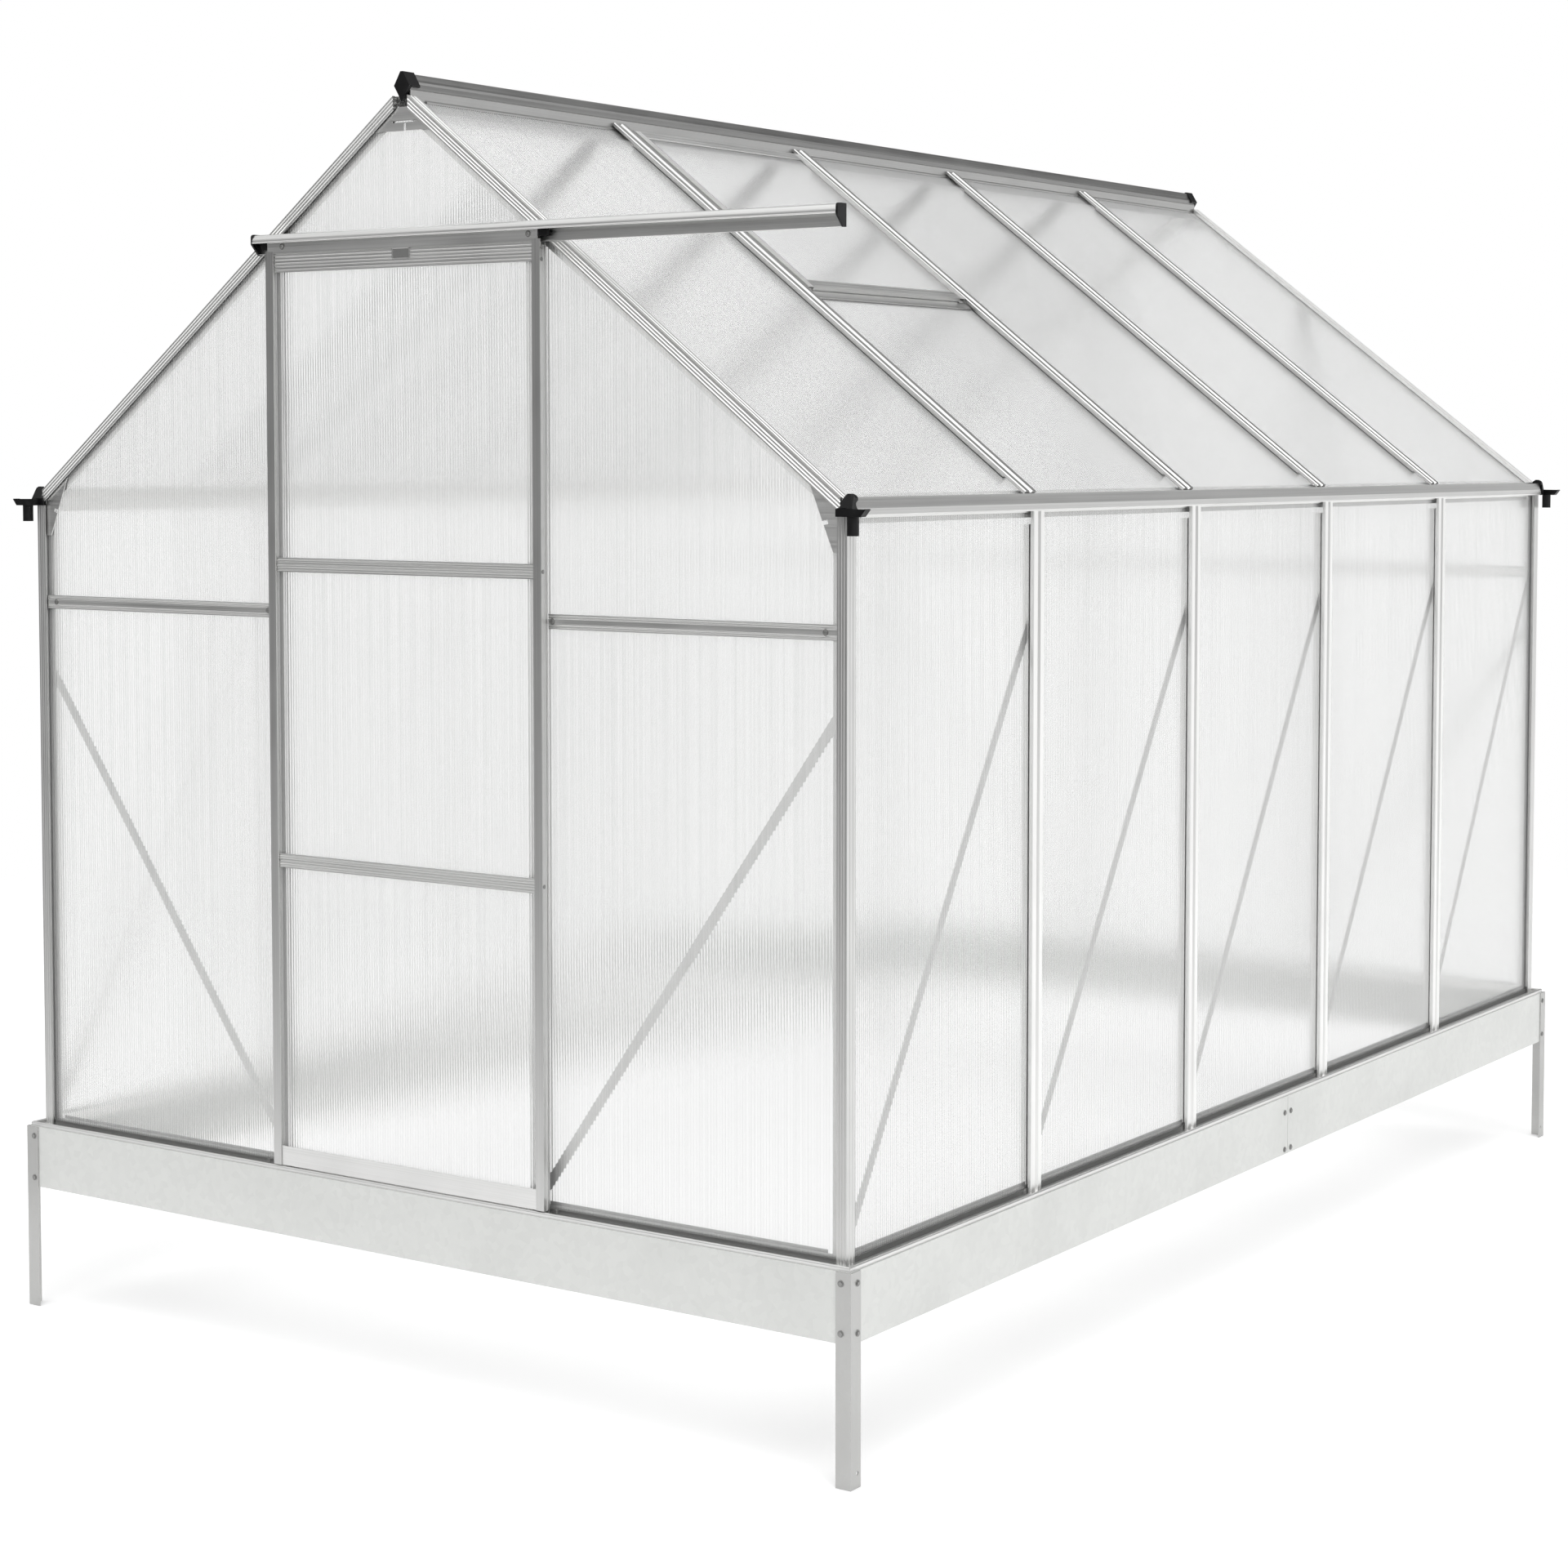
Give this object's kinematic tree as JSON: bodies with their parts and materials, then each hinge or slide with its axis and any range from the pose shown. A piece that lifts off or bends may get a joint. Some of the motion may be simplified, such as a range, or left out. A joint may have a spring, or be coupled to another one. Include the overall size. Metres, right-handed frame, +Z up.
{
  "type": "polycarbonate greenhouse",
  "caption": "Gable greenhouse with a ribbed aluminium bar frame, translucent twin-wall sheets, a hanging sliding door, a roof vent and gutters, on a folded steel base with corner stakes.",
  "frame": {"origin": "middle of the footprint, at the foot of the stakes", "axes": "+Y along the house to the back, +X to the right of someone who faces the door from outside, +Z up"},
  "size_m": [1.996, 3.1532, 2.37],
  "materials": {
    "alloy": "mill finish aluminium extrusion",
    "steel": "galvanised sheet steel",
    "sheet": "clear twin-wall polycarbonate",
    "plastic": "black moulded plastic"
  },
  "bodies": {
    "house": {"base_front": "steel", "base_back": "steel", "base_left": "steel", "base_right": "steel", "base_splices": "steel", "corner_stakes": "steel", "sill_front": "alloy", "sill_back": "alloy", "sill_left": "alloy", "sill_right": "alloy", "corner_posts": "alloy", "left_studs": "alloy", "right_studs": "alloy", "door_posts": "alloy", "back_posts": "alloy", "front_mid_rails": "alloy", "back_mid_rails": "alloy", "gutter_left": "alloy", "gutter_right": "alloy", "gutter_outlets": "plastic", "ridge_bar": "alloy", "ridge_end_caps": "plastic", "front_rafters": "alloy", "back_rafters": "alloy", "left_roof_bars": "alloy", "right_roof_bars": "alloy", "eave_gussets": "alloy", "ridge_gussets": "alloy", "end_braces": "alloy", "side_braces": "alloy", "front_panels": "sheet", "back_panels": "sheet", "left_wall_panels": "sheet", "right_wall_panels": "sheet", "left_roof_panels": "sheet", "right_roof_panels": "sheet", "vent_frame": "alloy", "vent_panel": "sheet", "vent_sill": "alloy", "door_header": "alloy", "door_track": "alloy", "track_end_caps": "plastic"},
    "door": {"door_stiles": "alloy", "door_top_rail": "alloy", "door_mid_rails": "alloy", "door_bottom_rail": "alloy", "door_panels": "sheet", "door_rollers": "plastic"}
  },
  "joints": [
    {"name": "door_slide", "type": "slide", "parent": "house", "child": "door", "axis": [1, 0, 0], "range_m": [0, 0.59]}
  ]
}
